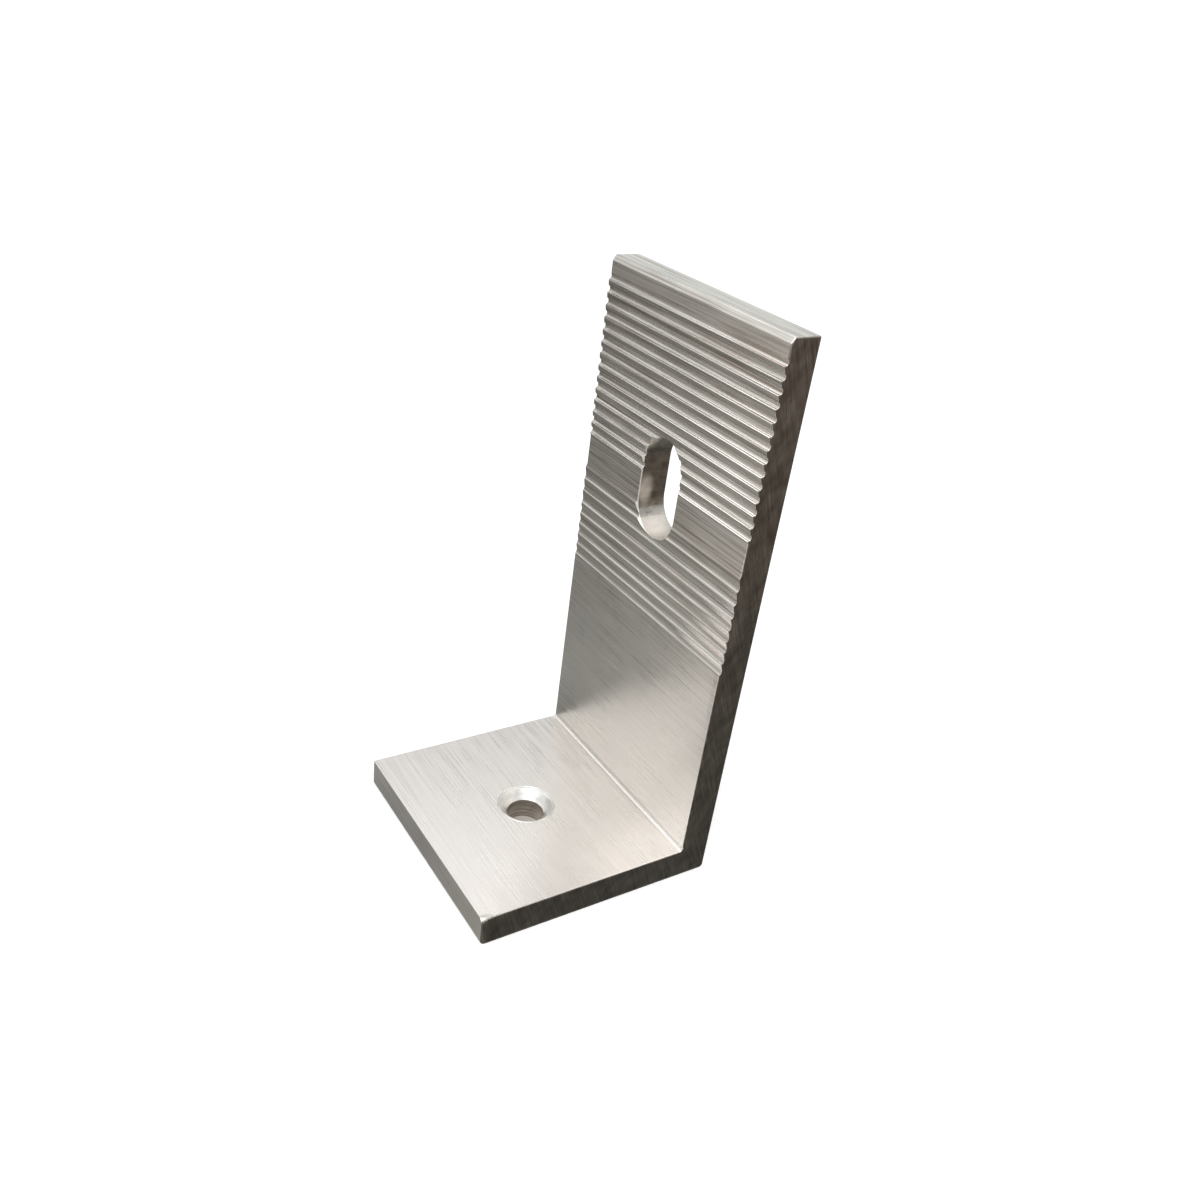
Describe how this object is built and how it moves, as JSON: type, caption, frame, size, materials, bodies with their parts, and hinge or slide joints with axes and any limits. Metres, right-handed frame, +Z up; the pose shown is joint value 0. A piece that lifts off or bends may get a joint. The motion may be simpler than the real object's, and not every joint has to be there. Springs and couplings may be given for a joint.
{
  "type": "solar l clamp",
  "caption": "L-shaped aluminium foot for solar mounting: a base with a countersunk screw hole and a tall toothed upright with a vertical bolt slot.",
  "frame": {"origin": "on the underside, in the middle of the bounding box, which is the middle of the base", "axes": "+X from the base's free edge towards the back of the upright, +Y along the extrusion from one saw-cut end to the other, +Z up along the upright"},
  "size_m": [0.04, 0.04, 0.086],
  "materials": {
    "aluminium": "mill-finish extruded and lightly brushed, with saw-cut ends"
  },
  "bodies": {
    "root": {"l_clamp": "aluminium"}
  },
  "joints": []
}
